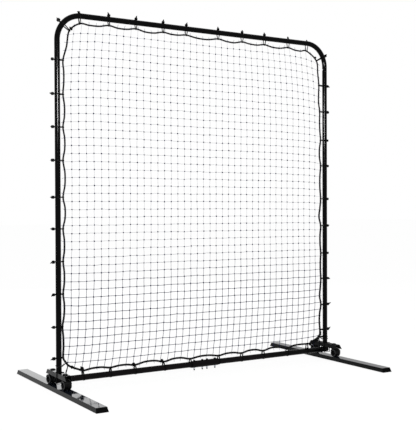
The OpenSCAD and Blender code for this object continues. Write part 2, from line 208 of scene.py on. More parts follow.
def bracket_material():
    """Satin paint on the channel's sides; the left one's top plate is polished by handling."""
    s = Shader("bracket_coat", Specular_IOR_Level=0.1)
    dull_right = s.ramp(s.axes(s.coords)["X"], -0.1, 0.1, 0, 0.5)
    cloud = s.noise(MOTTLING, 4)
    upward = s.facing()["Z"]
    top = s.ramp(upward, 0.7, 0.95, 0, 1)
    sides = s.ramp(upward, 0.7, 0.95, 1, 0)
    paint = s.mix(s.ramp(cloud, 0.3, 0.7, 0, 1), grey(0.0028, 0.0031), (0.0055, 0.0056, 0.0062))
    s.to("Base Color", s.mix(top, paint, grey(0.002, 0.0022)))
    satin = s.ramp(cloud, 0.3, 0.7, 0.24, 0.34)
    polish = s.ramp(s.noise(1, 6, 0.7, s.scaled(SCUFFS)), 0.45, 0.75, 0.05, 0.14)
    own = s.maths("ADD", s.maths("MULTIPLY", polish, top), s.maths("MULTIPLY", satin, sides))
    s.to("Roughness", s.maths("ADD", own, dull_right))
    s.to("Normal", s.bump(s.noise(ORANGE_PEEL, 2), 0.12, RELIEF))
    return s.mat


def moulded_material(name, dark, light, rough, grain, specular):
    """Moulded plastic with a fine even grain and a little dust."""
    s = Shader(name, Specular_IOR_Level=specular)
    dust = s.noise(30, 5, 0.6)
    s.to("Base Color", s.mix(s.ramp(dust, 0.35, 0.75, 0, 1), dark, light))
    s.to("Roughness", s.ramp(dust, 0.3, 0.7, rough, rough + 0.14))
    s.to("Normal", s.bump(s.noise(MOULD_GRAIN, 2), grain, RELIEF))
    return s.mat


def metal_material(name, dark, light, rough):
    """Bright zinc plate or black oxide, with cloudy patches and fine scratches."""
    s = Shader(name, Metallic=1.0)
    cloud = s.noise(160, 4)
    s.to("Base Color", s.mix(s.ramp(cloud, 0.35, 0.7, 0, 1), dark, light))
    scratch = s.noise(1, 4, 0.6, s.scaled((2400, 2400, 260)))
    s.to("Roughness", s.ramp(scratch, 0.3, 0.7, rough, rough + 0.18))
    s.to("Normal", s.bump(scratch, 0.25, FINE_RELIEF))
    return s.mat


def wheel_material():
    """Black tread; both side faces of the wheel are painted paler as a painted highlight."""
    s = Shader("wheel_plastic", Specular_IOR_Level=0.07)
    # painted highlight: faces looking along the axle get a paler colour, standing in for light
    # caught on the rims
    side = s.ramp(s.maths("ABSOLUTE", s.facing()["X"]), 0.8, 0.93, 0, 1)
    dust = s.noise(90, 5, 0.6)
    worn = s.ramp(dust, 0.3, 0.75, 0, 1)
    tread = s.mix(worn, grey(0.0016, 0.0018), grey(0.004, 0.0043))
    # paler colour of the side faces, a painted highlight
    face = s.mix(worn, grey(0.024, 0.026), grey(0.05, 0.054))
    s.to("Base Color", s.mix(side, tread, face))
    s.to("Roughness", s.ramp(dust, 0.3, 0.7, 0.34, 0.5))
    s.to("Normal", s.bump(s.noise(MOULD_GRAIN, 2), 0.2, RELIEF))
    return s.mat


def rail_material():
    """Gloss black rail: long drawing lines, dust on the top, and a bluish painted reflection on the
    top.
    """
    s = Shader("rail_gloss", Specular_IOR_Level=0.088, Specular_Tint=(0.95, 0.965, 1, 1))
    lines = s.noise(1, 3, 0.6, s.scaled((1500, 3, 1500)))
    dust = s.noise(420, 3, 0.7)
    top = s.ramp(s.axes(s.node("NewGeometry").outputs["Normal"])["Z"], 0.6, 0.95, 0, 1)
    # on the top faces, real dust and a painted bluish reflection share one colour
    top_dust_and_reflection = s.maths("MULTIPLY", top, s.ramp(dust, 0.62, 0.78, 0.5, 0.8))
    s.to("Base Color", s.mix(top_dust_and_reflection, grey(0.0016, 0.0019), (0.01, 0.014, 0.024)))
    smears = s.ramp(s.noise(14, 4), 0.4, 0.7, 0, 0.03)
    s.to("Roughness", s.maths("ADD", s.ramp(lines, 0.3, 0.7, 0.04, 0.07), smears))
    s.to("Normal", s.bump(lines, 0.05, FINE_RELIEF))
    return s.mat


YARN_RELIEF = 0.0004
# painted light: the net's strands are painted paler towards the top
PAINTED_LIGHT_Z = (0.55, 1.25)  # heights in metres between which the net's strands grow paler


def lay_material(name, dark, light, turns, slant, painted_light_colour=None):
    """Twine or cord whose yarns run round it; reads the strand's own map, u along and v round.

    Where a painted light colour is given, the cord is painted paler towards the top, standing in
    for light that falls there."""
    s = Shader(name, Specular_IOR_Level=0.04, Sheen_Weight=0.02, Sheen_Roughness=0.4)
    uv = s.axes(s.node("UVMap", uv_map="OFBake").outputs["UV"])
    along, round_it = s.maths("MULTIPLY", uv["X"], turns), s.maths("MULTIPLY", uv["Y"], slant)
    angle = s.maths("ADD", along, round_it)
    wave = s.maths("SINE", s.maths("MULTIPLY", angle, 2 * math.pi))
    fibre = s.noise(2600, 2)
    colour = s.mix(s.ramp(wave, -1, 1, 0, 1), dark, light)
    if painted_light_colour:
        # painted light: paler towards the top
        colour = s.mix(s.ramp(s.axes(s.coords)["Z"], *PAINTED_LIGHT_Z, 0, 1), colour, painted_light_colour)
    s.to("Base Color", colour)
    s.to("Roughness", s.ramp(fibre, 0.3, 0.7, 0.5, 0.75))
    s.to("Normal", s.bump(wave, 0.6, YARN_RELIEF, s.bump(fibre, 0.3, FINE_RELIEF)))
    return s.mat


BLACK = grey(0.0009, 0.001)
NAVY = (0.0016, 0.005, 0.034), (0.009, 0.017, 0.085)
frame_coat = coat_material(
    "frame_coat", BLACK, grey(0.0018, 0.0021), rough=(0.1, 0.13), peel=0.05, specular=0.045
)
# the crossbar's right end is painted black as painted shade
crossbar_coat = coat_material(
    "crossbar_coat", (0.002, 0.0013, 0.0018), (0.0046, 0.0031, 0.0041),
    rough=(0.2, 0.3), peel=0.3, specular=0.055, painted_shade=BLACK,
)
bracket_coat = bracket_material()
rail_gloss = rail_material()
plug_plastic = moulded_material(
    "plug_plastic", grey(0.0007, 0.0008), grey(0.0016, 0.0018), rough=0.42, grain=0.3, specular=0.02
)
cap_plastic = moulded_material(
    "cap_plastic", grey(0.0014, 0.0016), grey(0.0034, 0.0036), rough=0.26, grain=0.15, specular=0.08
)
caster_plastic = moulded_material(
    "caster_plastic", grey(0.0014, 0.0016), grey(0.0036, 0.0038),
    rough=0.32, grain=0.2, specular=0.06,
)
wheel_plastic = wheel_material()
hub_plastic = moulded_material(
    "hub_plastic", grey(0.0012, 0.0013), grey(0.0026, 0.0028), rough=0.35, grain=0.2, specular=0.04
)
tie_nylon = moulded_material(
    "tie_nylon", grey(0.0008, 0.0009), grey(0.0018, 0.002), rough=0.4, grain=0.2, specular=0.03
)
strap_web = moulded_material(
    "strap_web", grey(0.0014, 0.0015), grey(0.003, 0.0032), rough=0.5, grain=0.5, specular=0.03
)
zinc = metal_material("zinc_plate", (0.55, 0.58, 0.62), (0.74, 0.77, 0.8), rough=0.22)
black_oxide = metal_material("black_oxide", grey(0.008, 0.009), grey(0.02, 0.022), rough=0.34)
twine = lay_material("net_twine", *NAVY, turns=9, slant=2)
string_twine = lay_material(
    "string_twine", grey(0.0016, 0.002), grey(0.007, 0.009), turns=9, slant=2
)
# the net's strands are painted paler towards the top as painted light
strand_twine = lay_material("strand_twine", *NAVY, turns=9, slant=2, painted_light_colour=(0.14, 0.155, 0.23))
rope_fibre = lay_material(
    "rope_fibre", grey(0.0014, 0.0016), grey(0.006, 0.007), turns=900, slant=3
)

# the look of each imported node, by the start of its name
CAD_LOOKS = {
    "top_bar": frame_coat, "corner": frame_coat, "post": frame_coat,
    "crossbar_plug": plug_plastic, "crossbar": crossbar_coat, "bracket": bracket_coat,
    "coupler_bolts": black_oxide, "coupler_nuts": zinc, "snap_button": zinc, "button_spring": zinc,
    "foot_rail": rail_gloss, "rail_plug": plug_plastic, "keeper_strap": strap_web, "stem": zinc,
    "cap_nut": cap_plastic, "hood": caster_plastic, "axle": hub_plastic, "wheel": wheel_plastic,
    "net": twine, "border_rope": rope_fibre, "ties": tie_nylon,
}


def dress(o, name):
    """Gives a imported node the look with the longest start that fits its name."""
    best = max((k for k in CAD_LOOKS if name.startswith(k)), key=len)
    o.data.materials.clear()
    o.data.materials.append(CAD_LOOKS[best])


# width of the rounded edges in millimetres, and the angle from which an edge is rounded
SOFT_EDGES = {"bracket": 0.8, "foot_rail": 0.9, "rail_plug": 0.7, "keeper_strap": 0.7}
EDGE_ANGLE = 35


def soften(o, width):
    """Small rounded edges, drawn on the solid's own form."""
    weld = o.modifiers.new("weld", "WELD")
    weld.merge_threshold = 0.02 * MM
    bevel = o.modifiers.new("edges", "BEVEL")
    bevel.width = width * MM
    bevel.segments = 2
    bevel.limit_method = "ANGLE"
    bevel.angle_limit = math.radians(EDGE_ANGLE)
    bevel.use_clamp_overlap = True
    bevel.harden_normals = True


for name, o in nodes.items():
    dress(o, name)
    for start, width in SOFT_EDGES.items():
        if name.startswith(start):
            soften(o, width)


# ---- mesh helpers ----
Y_AXIS = np.array([0, 1.0, 0])


def sind(a):
    return math.sin(math.radians(a))


def cosd(a):
    return math.cos(math.radians(a))


def new_piece(name, verts, faces, uvs, mat, slot, body="frame", replaces=(), smooth=True):
    """A piece from vertices in millimetres; uvs holds one pair per face corner, in face order."""
    mesh = bpy.data.meshes.new(name)
    mesh.from_pydata((verts * MM).tolist(), [], [list(f) for f in faces])
    if smooth:
        mesh.shade_smooth()
    layer = mesh.uv_layers.new(name="OFBake")
    layer.data.foreach_set("uv", np.asarray(uvs, np.float32).ravel())
    mesh.materials.append(mat)
    o = bpy.data.objects.new(name, mesh)
    bpy.context.scene.collection.objects.link(o)
    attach(o, body)
    if replaces:
        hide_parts(*replaces)


def ring_quads(sides, i, j):
    """The faces between ring i and ring j of a tube; each ring has so many sides."""
    for k in range(sides):
        m = (k + 1) % sides
        yield k, (i * sides + k, i * sides + m, j * sides + m, j * sides + k)


def other_side(corners):
    """A face's corners in the order that turns it over."""
    return [corners[0], *corners[:0:-1]]


def map_quad(i, rings, k, sides):
    """The map's corners for the face ring_quads gives: u along the tube, v round it."""
    u0, u1, v0, v1 = i / rings, (i + 1) / rings, k / sides, (k + 1) / sides
    return [(u0, v0), (u0, v1), (u1, v1), (u1, v0)]


def directions(line, closed):
    """A line's direction at each of its points, as unit vectors."""
    t = np.roll(line, -1, 0) - np.roll(line, 1, 0) if closed else np.gradient(line, axis=0)
    return t / np.linalg.norm(t, axis=1)[:, None]


def resampled(points, at, s):
    """Points at the distances in at, read from a line whose points are at the distances in s."""
    return np.stack([np.interp(at, s, points[:, k]) for k in range(points.shape[1])], 1)


class Build:
    """Collects vertices, faces and a map, so that many small forms make one piece."""

    def __init__(self):
        self.verts, self.faces, self.uvs, self.count = [], [], [], 0

    def add(self, verts, faces, uvs=None):
        verts = np.asarray(verts, float)
        self.verts.append(verts)
        for k, f in enumerate(faces):
            self.faces.append([i + self.count for i in f])
            self.uvs += uvs[k] if uvs is not None else [(0.5, 0.5)] * len(f)
        self.count += len(verts)

    def tube(self, points, radius, sides, closed=False, up=(0, 1, 0)):
        """A tube along points; radius is one number or one per point."""
        p = np.asarray(points, float)
        n = len(p)
        r = np.broadcast_to(np.asarray(radius, float), (n,))
        t = directions(p, closed)
        first = np.cross(t[0], up)
        if np.linalg.norm(first) < 0.2:  # the line starts along up, so another way is taken
            first = np.cross(t[0], (0.3, 0.2, 1.0))
        frames = []
        side = first / np.linalg.norm(first)
        for i in range(n):
            side = side - t[i] * side.dot(t[i])
            side /= np.linalg.norm(side)
            frames.append(side.copy())
        s1 = np.array(frames)
        s2 = np.cross(t, s1)
        ang = np.arange(sides) * 2 * math.pi / sides
        ring = p[:, None] + r[:, None, None] * (
            np.cos(ang)[None, :, None] * s1[:, None] + np.sin(ang)[None, :, None] * s2[:, None]
        )
        verts = ring.reshape(-1, 3)
        faces, uvs = [], []
        last = n if closed else n - 1
        for i in range(last):
            for k, quad in ring_quads(sides, i, (i + 1) % n):
                faces.append(quad)
                uvs.append(map_quad(i, last, k, sides))
        if not closed:
            for i, flip in ((0, 1), (n - 1, 0)):
                loop = list(range(i * sides, (i + 1) * sides))
                faces.append(loop[::-1] if flip else loop)
                uvs.append([(0.0, 0.5)] * sides)
        self.add(verts, faces, uvs)

    def piece(self, name, mat, slot, **kw):
        new_piece(name, np.concatenate(self.verts), self.faces, self.uvs, mat, slot, **kw)


CURVE_STEPS = np.linspace(0, 1, 24, endpoint=False)


def catmull_rom(a, b, c, d, t):
    """The point at t of the smooth curve from b to c; a and d are the points before and after."""
    square, cube = 2 * a - 5 * b + 4 * c - d, 3 * b - a - 3 * c + d
    return 0.5 * (2 * b + (c - a) * t + square * t**2 + cube * t**3)


def distances(line):
    """How far each point of a line is from its start, along the line."""
    return np.concatenate([[0], np.cumsum(np.linalg.norm(np.diff(line, axis=0), axis=1))])


def evenly_closed(ring, count):
    """A closed line's points, count of them at even distances, and its length."""
    ring = np.vstack([ring, ring[:1]])
    s = distances(ring)
    return resampled(ring, np.arange(count) * s[-1] / count, s), s[-1]


def smooth_closed(points, step):
    """A smooth closed line through points, with its own points about step apart, and its length."""
    p = np.asarray(points, float)
    n = len(p)
    out = []
    for i in range(n):
        a, b, c, d = p[i - 1], p[i], p[(i + 1) % n], p[(i + 2) % n]
        out += [catmull_rom(a, b, c, d, t) for t in CURVE_STEPS]
    length = distances(np.array(out + out[:1]))[-1]
    return evenly_closed(np.array(out), int(round(length / step)))


def smooth_open(points, step):
    """A smooth line from the first point to the last, with its own points about step apart."""
    p = np.asarray(points, float)
    p = np.vstack([2 * p[0] - p[1], p, 2 * p[-1] - p[-2]])
    out = [catmull_rom(*four, CURVE_STEPS[:, None]) for four in zip(p, p[1:], p[2:], p[3:])]
    out = np.vstack(out + [p[-2:-1]])
    s = distances(out)
    return resampled(out, np.linspace(0, s[-1], int(round(s[-1] / step)) + 1), s)


def turned(v, angle, x0=0.0):
    """Points turned by an angle in degrees in the X-Z plane, about x = x0."""
    c, s = cosd(angle), sind(angle)
    x, z = v[:, 0] - x0, v[:, 2]
    return np.stack([x * c - z * s + x0, v[:, 1], x * s + z * c], 1)


def coiled(centre, along, across, places, g, r):
    """A coil of radius r: at each angle in g it has moved from centre to its place along."""
    line = centre + along * places[:, None]
    return line + r * (np.cos(g)[:, None] * across + np.sin(g)[:, None] * Y_AXIS)


# ---- route of the border rope, as in the part's source ----
TIE_LEFT = [185, 360, 544, 727, 911, 1089, 1296, 1483, 1667, 1859]
TIE_RIGHT = [195, 364, 542, 714, 899, 1081, 1304, 1477, 1669, 1845]
TIE_TOP = [-822, -640, -465, -283, -122, 108, 288, 462, 652, 806]
TIE_BOTTOM = [-811, -641, -480, -285, -103, 103, 276, 445, 638, 803]
OFF_LEFT = [26.0, 23.0] + [26.0 + i for i in range(2, 10)]
OFF_RIGHT = [44.0] + [35.5] * 7 + [42.0, 49.0]
OFF_TOP = [44.0] + [34.0 + i for i in range(1, 9)] + [51.0]
OFF_BOTTOM = [38 - 0.4 * i for i in range(9)] + [48.0]
LOW_TIE_RIGHT = (146.0, 46.5)
CORNER_TIE = {-1: (141.5, 54.0), 1: (26.5, 61.0)}
# how much further in the rope hangs at single points of its route
ROPE_SAG = {
    4: -4, 5: -4, 7: 8.5, 8: 8.5, 13: 2.5, 14: 2.5, 16: 2, 17: 2, 22: 9.5, 23: 7, 25: -3, 26: -5,
    37: -6, 42: -6, 43: -6, 45: 8, 51: -2, 52: -2.5, 57: -3.5, 58: -6,
    69: 5, 70: 3.5, 73: -2.5, 75: 5.5, 76: 4.5, 84: 5.5, 85: 6, 87: -2.5, 88: -4.5,
    102: 7.5, 103: 7.5, 108: 1.5, 109: 2, 114: -2.5, 115: -3,
}


def corner_rope(s):
    """Where the rope runs under the tie of the left (-1) or right (1) top corner."""
    a, off = CORNER_TIE[s]
    return [s * SEAM_X + (CORNER_R - off) * cosd(a), SEAM_Z + (CORNER_R - off) * sind(a)]


def bowed(p, n, phase=0):
    """The points p with two more in each gap, moved along n, so that the rope bows between ties."""
    out = []
    for i, ends in enumerate(zip(p, p[1:])):
        bow = SCALLOP * (0.8 + 0.45 * sind(140 * i + phase))
        for t in (0, 1 / 3, 2 / 3):
            pairs = zip(*ends, n)
            out.append([a * (1 - t) + b * t + w * bow * 1.1 * sind(180 * t) for a, b, w in pairs])
    return out + [p[-1]]


def rope_route():
    """The rope's [x, z] points once round, from the bottom left corner towards the right."""
    bottom = [[TIE_BOTTOM[i], CROSS_Z + OFF_BOTTOM[i]] for i in range(10)]
    right = [[PX - OFF_RIGHT[i], TIE_RIGHT[i]] for i in range(10)]
    top = [[TIE_TOP[i], TOP_Z - OFF_TOP[i]] for i in range(9, -1, -1)]
    left = [[OFF_LEFT[i] - PX, TIE_LEFT[i]] for i in range(9, -1, -1)]
    route = (
        bowed(bottom, (0, 1))
        + [[PX - 108, 109], [PX - 73, 123], [PX - 53, 140], [PX - 45, 165]]
        + bowed(right, (-1, 0))
        + [[PX - 58, 1925], corner_rope(1)]
        + bowed(top, (0, -1))
        + [corner_rope(-1), [57 - PX, 1940]]
        + bowed(left, (1, 0), 230)
        + [[40 - PX, 158], [56 - PX, 138], [81 - PX, 124], [116 - PX, 110]]
    )
    for i, sag in ROPE_SAG.items():
        x, z = route[i]
        inward = (0, 1) if i < 30 else (-1, 0) if i < 60 else (0, -1) if i < 90 else (1, 0)
        route[i] = [x + inward[0] * sag, z + inward[1] * sag]
    return route


ROPE_STEP = 3.2
ROPE_STRAND = 2.75  # radius of one of the three strands
ROPE_LAY = 24  # length of one turn of the strands
# the rope fluffs up below these heights, and one metre lower it is thicker by this share
FLUFF_LEFT, FLUFF_RIGHT = 1150, 1800
ROPE_FLUFF = 0.24
ROPE_END_WAY = [
    [826, 98], [831, 109], [842, 119], [862, 128], [886, 138], [903, 151], [912, 165], [915, 184],
]
ROPE_END_Y = -4.0
TWINE_R = 1.0
# x, z and turn of each knot in the rope; its short tail points that way
KNOTS_IN_ROPE = [(-878, 125, 330), (-873, 2041, 150), (877, 2028, 255)]
rope_line, rope_length = smooth_closed(rope_route(), ROPE_STEP)


def lay_rope(build, line, length, depth=0.0, closed=False, fine=1.0):
    """Three strands laid round each other along a line of [x, z]; fine scales the rope's thickness.

    The rope has fluffed up a little towards the floor, on the right from higher up."""
    n = len(line)
    start = np.where(line[:, 0] > 0, FLUFF_RIGHT, FLUFF_LEFT)
    thick = ROPE_STRAND * fine * (1 + ROPE_FLUFF * np.clip((start - line[:, 1]) / 1000, 0, 1))
    off = thick * 0.95
    t = directions(line, closed)
    normal = np.stack([t[:, 1], -t[:, 0]], 1)
    turns = round(length / ROPE_LAY)
    for k in range(3):
        a = 2 * math.pi * (turns * np.arange(n) / n + k / 3)
        xz = line + normal * (off * np.cos(a))[:, None]
        points = np.stack([xz[:, 0], depth + off * np.sin(a), xz[:, 1]], 1)
        build.tube(points, thick, 7, closed=closed)


def tight_knot(count, scale):
    """Centre line of an overhand knot pulled tight, as x, y, z."""
    g = 2 * math.pi * np.arange(count) / count
    x, y, z = np.sin(g) + 2 * np.sin(2 * g), -1.25 * np.sin(3 * g), np.cos(g) - 2 * np.cos(2 * g)
    return np.stack([x, y, z], 1) * scale


def make_rope():
    build = Build()
    lay_rope(build, rope_line, rope_length, closed=True)
    build.piece("rope_border", rope_fibre, slot="border_rope", replaces=["border_rope"])


def make_rope_ends():
    """The rope's two ends, doubled at the bottom right corner, and knots at the other corners."""
    build = Build()
    line = smooth_open(ROPE_END_WAY, ROPE_STEP)
    length = np.linalg.norm(np.diff(line, axis=0), axis=1).sum()
    lay_rope(build, line, length, depth=ROPE_END_Y, fine=1.3)
    for end, ahead in ((line[0], line[3]), (line[-1], line[-4])):
        d = (ahead - end) / np.linalg.norm(ahead - end)
        along, across = np.array([d[0], 0, d[1]]), np.array([-d[1], 0, d[0]])
        g = np.linspace(0, 2 * math.pi * 5, 56)
        centre = np.array([end[0], ROPE_END_Y, end[1]])
        build.tube(coiled(centre, along, across, 2 + 10 * g / g[-1], g, 5.0), TWINE_R, 5)
    for x, z, turn in KNOTS_IN_ROPE:
        build.tube(turned(tight_knot(42, 2.3), turn) + (x, 0, z), 3.9, 8, closed=True)
        c, w = cosd(turn), sind(turn)
        tail = np.array([[x, -4, z], [x + 7 * c, -6, z + 7 * w], [x + 15 * c, -5, z + 16 * w]])
        build.tube(tail, [4.2, 3.9, 2.8], 8)
    build.piece("rope_ends", rope_fibre, slot="border_rope", replaces=["border_rope"])


STRING_R = 2.1
LOOP_ON_BAR_X = 925
# for the left (-1) and right (1) corner: the height of the loop round the post, the two [x, z] ends
# of that string at the rope, and the two ends of the string round the crossbar
STRINGS = {
    -1: (139, (920, 150), (914, 152), (906, 130), (903, 136)),
    1: (130, (922, 137), (914, 144), (909, 124), (906, 138)),
}


def make_strings():
    """Thin cord that ties the bottom corners of the rope to the posts and to the crossbar."""
    build = Build()
    for side, (height, post_start, post_end, bar_start, bar_end) in STRINGS.items():
        r = TUBE_R + STRING_R
        g = np.linspace(math.radians(28), math.radians(332), 30)
        post = np.stack([side * (PX - r * np.cos(g)), r * np.sin(g), height - 3 * np.cos(g)], 1)
        r = CROSS_R + STRING_R
        g = np.linspace(math.radians(422), math.radians(118), 30)
        x = side * (LOOP_ON_BAR_X - 3 * np.sin(g))
        bar = np.stack([x, r * np.cos(g), CROSS_Z + r * np.sin(g)], 1)
        for loop, (x, z), (x_end, z_end) in (
            (post, post_start, post_end), (bar, bar_start, bar_end),
        ):
            near, far = np.array([[side * x, 1.4, z]]), np.array([[side * x, -1.4, z]])
            build.tube(np.vstack([near, loop, far, [[side * x_end, 0, z_end]], near]), STRING_R, 6)
    build.piece("corner_strings", string_twine, slot="net_twine", replaces=["net"])


make_rope()
make_rope_ends()
make_strings()


# ---- net ----
COLS = range(-19, 20)
ROWS = range(-21, 21)
# a strand's radius is the first below the first height and the second above the second
STRAND_Z = (450.0, 850.0)
STRAND_R = (1.6, 0.57)
MESH_JITTER = 0.8
ROPE_CLEAR = 6  # a knot no further than this from the rope's centre line is left out
ROPE_REACH = 90  # how far past the last knot the rope is looked for
HITCH_R = 4.7


def knot_place(i, j):
    """Where knot i, j of the net hangs: an even 46 mm mesh, drawn in by the rope near the corners.

    The curves are fitted to the crossings that the photograph shows."""
    a, b = i / 19, (j + 0.5) / 20.5
    x = 873 * a - 0.5 + 5.3 * b - 8.9 * b**3 - 12.5 * b**4 + 14.8 * b**5 - 1.6 * b**6
    spread = 27.2 * b**2 - 44.6 * b**4 - 10.6 * b**7 + 12.1 * b**8
    x += a * spread - 4.3 * (a * b) ** 3 - 2.8 * a * a * b
    z = 1086.5 + 939.5 * b - 3.6 * a + 1.9 * b * b - 4.8 * a**6 - 1.7 * a**7 - 15.3 * a**8 * b
    z += 3.0 * a * a * b - 3.1 * a**3 * b - 2.7 * a**8 * b * b + 2.7 * a**3 * b * b + 1.3 * a * b
    return x, z


def net_depth(x, z):
    """A little belly and ripple in the hung net."""
    edge = max(0.0, (1 - (x / 915) ** 2)) * max(0.0, 1 - ((z - 1088) / 985) ** 2)
    belly = 3.0 + 1.6 * math.sin(x / 130 + 1.3) * math.sin(z / 170)
    return edge * belly + 0.6 * math.sin(x / 41 + z / 67)


def crossing(p, d, reach):
    """Where the line from p along d meets the rope's centre line, and the rope's direction there.

    None where it doesn't meet the rope within reach."""
    a = rope_line
    b = np.roll(rope_line, -1, 0)
    e = b - a
    w = a - p
    den = d[0] * e[:, 1] - d[1] * e[:, 0]
    den = np.where(abs(den) < 1e-9, 1e-9, den)
    t = (w[:, 0] * e[:, 1] - w[:, 1] * e[:, 0]) / den
    u = (w[:, 0] * d[1] - w[:, 1] * d[0]) / den
    ok = (t > 0.5) & (u >= 0) & (u < 1) & (t < reach)
    if not ok.any():
        return None
    k = np.where(ok, t, 1e9).argmin()
    tangent = e[k] / np.linalg.norm(e[k])
    return p + d * t[k], tangent


def inside_rope(p):
    """Whether p is within the closed line of the rope."""
    a = rope_line
    b = np.roll(rope_line, -1, 0)
    cross = (a[:, 1] > p[1]) != (b[:, 1] > p[1])
    x = a[:, 0] + (p[1] - a[:, 1]) * (b[:, 0] - a[:, 0]) / np.where(cross, b[:, 1] - a[:, 1], 1)
    return (cross & (x > p[0])).sum() % 2 == 1


def hang_knots():
    """The net's knots by column and row, each as x, y, z."""
    knots = {}
    for i in COLS:
        for j in ROWS:
            x, z = knot_place(i, j)
            x, z = x + rng.normal(0, MESH_JITTER), z + rng.normal(0, MESH_JITTER)
            gap = np.hypot(rope_line[:, 0] - x, rope_line[:, 1] - z).min()
            if inside_rope(np.array([x, z])) and gap > ROPE_CLEAR:
                knots[i, j] = np.array([x, net_depth(x, z), z])
    return knots


def join_knots(knots):
    """Pairs of neighbouring knots, and the ends where an outer knot's strand meets the rope.

    An end holds the knot, the [x, z] on the rope, the rope's direction and the strand's."""
    spans, ends = [], []
    for (i, j), p in knots.items():
        for di, dj in ((1, 0), (-1, 0), (0, 1), (0, -1)):
            q = knots.get((i + di, j + dj))
            if q is not None:
                if di + dj > 0:
                    spans.append((p, q))
                continue
            start = np.array([p[0], p[2]])
            d = np.array(knot_place(i + di, j + dj)) - start
            d /= np.linalg.norm(d)
            hit = crossing(start, d, ROPE_REACH)
            if hit is not None:
                ends.append((p, *hit, d))
    return spans, ends


def repeated(faces, copies, step):
    """The same faces once for each copy of a form that has step vertices."""
    return (np.array(faces)[None] + (np.arange(copies) * step)[:, None, None]).reshape(-1, 4)


def make_strands(spans, ends):
    """Strands from knot to knot and to the rope, a little thicker towards the floor."""
    a = np.array([p for p, _ in spans] + [p for p, *_ in ends])
    b = np.array([q for _, q in spans] + [[at[0], 0.6, at[1]] for _, at, _, _ in ends])
    n, sides, rings = len(a), 6, 3
    t = b - a
    t /= np.linalg.norm(t, axis=1)[:, None]
    s1 = np.cross(t, (0, 1, 0))
    s1 /= np.linalg.norm(s1, axis=1)[:, None]
    s2 = np.cross(t, s1)
    bend = rng.normal(0, 0.7, (n, 2))
    low = np.clip((STRAND_Z[1] - (a[:, 2] + b[:, 2]) / 2) / (STRAND_Z[1] - STRAND_Z[0]), 0, 1)
    radius = STRAND_R[1] + (STRAND_R[0] - STRAND_R[1]) * low * low * (3 - 2 * low)
    verts = np.zeros((n, rings, sides, 3))
    for r in range(rings):
        f = r / (rings - 1)
        bow = (s1 * bend[:, :1] + s2 * bend[:, 1:]) * math.sin(math.pi * f)
        middle = a * (1 - f) + b * f + bow
        for k in range(sides):
            g = 2 * math.pi * k / sides
            verts[:, r, k] = middle + radius[:, None] * (math.cos(g) * s1 + math.sin(g) * s2)
    quads, uvs = [], []
    for r in range(rings - 1):
        for k, quad in ring_quads(sides, r, r + 1):
            quads.append(quad)
            uvs += map_quad(r, rings - 1, k, sides)
    faces = repeated(quads, n, rings * sides)
    verts, uvs = verts.reshape(-1, 3), np.tile(uvs, (n, 1))
    new_piece("net_strands", verts, faces, uvs, strand_twine, "net_twine", replaces=["net"])


def make_knots(knots):
    """The same tight knot in every place, turned, mirrored and sized at random."""
    knot = Build()
    knot.tube(tight_knot(15, 1.0), 2.0, 4, closed=True)
    base = np.concatenate(knot.verts)
    places = np.array(list(knots.values()))
    n = len(places)
    spin = rng.uniform(0, 2 * math.pi, n)
    flip = rng.choice((-1.0, 1.0), n)[:, None]
    size = rng.uniform(0.92, 1.1, n)
    c, s = np.cos(spin)[:, None], np.sin(spin)[:, None]
    x = base[None, :, 0] * c - base[None, :, 2] * s
    z = base[None, :, 0] * s + base[None, :, 2] * c
    y = np.broadcast_to(base[None, :, 1], x.shape)
    verts = np.stack([x * flip, y * flip, z], 2) * size[:, None, None] + places[:, None]
    faces = repeated(knot.faces, n, len(base))
    verts, uvs = verts.reshape(-1, 3), np.tile(knot.uvs, (n, 1))
    new_piece("net_knots", verts, faces, uvs, twine, "net_twine", replaces=["net"])


def make_hitches(ends):
    """Hitches on the rope, each with the short end of its half mesh."""
    build = Build()
    for _, at, tangent, d in ends:
        along = np.array([tangent[0], 0, tangent[1]])
        across = np.array([-tangent[1], 0, tangent[0]])
        centre = np.array([at[0], 0, at[1]])
        g = np.linspace(0, 2 * math.pi * 1.8, 22)
        build.tube(coiled(centre, along, across, (g / g[-1] - 0.5) * 3.4, g, HITCH_R), TWINE_R, 5)
        out = np.array([d[0], 0, d[1]])
        reach = rng.uniform(9, 17)
        lean = along * rng.uniform(-7, 7) - Y_AXIS * rng.uniform(0.5, 4)
        start = centre + out * 3.8
        middle, end = centre + out * (3.8 + reach * 0.5), centre + out * (3.8 + reach)
        build.tube([start, middle + lean * 0.35, end + lean], 0.9, 5)
    build.piece("net_hitches", twine, "net_twine", replaces=["net"])


def make_net():
    knots = hang_knots()
    spans, ends = join_knots(knots)
    make_strands(spans, ends)
    make_knots(knots)
    make_hitches(ends)


make_net()


# ---- cable ties ----
BAND_POINTS = 40
BAND_THICK = 1.7
TEETH = 0.12  # how far every second point of the tail stands out


def loop_line(d, r, q):
    """A band's line round a tube of radius r at the origin and the rope of radius q at x = d."""
    a = math.acos((r - q) / d)
    big = [(r * math.cos(g), r * math.sin(g)) for g in np.linspace(a, 2 * math.pi - a, 26)]
    small = [(d + q * math.cos(g), q * math.sin(g)) for g in np.linspace(-a, a, 9)]
    return evenly_closed(np.array(big + small), BAND_POINTS)[0]


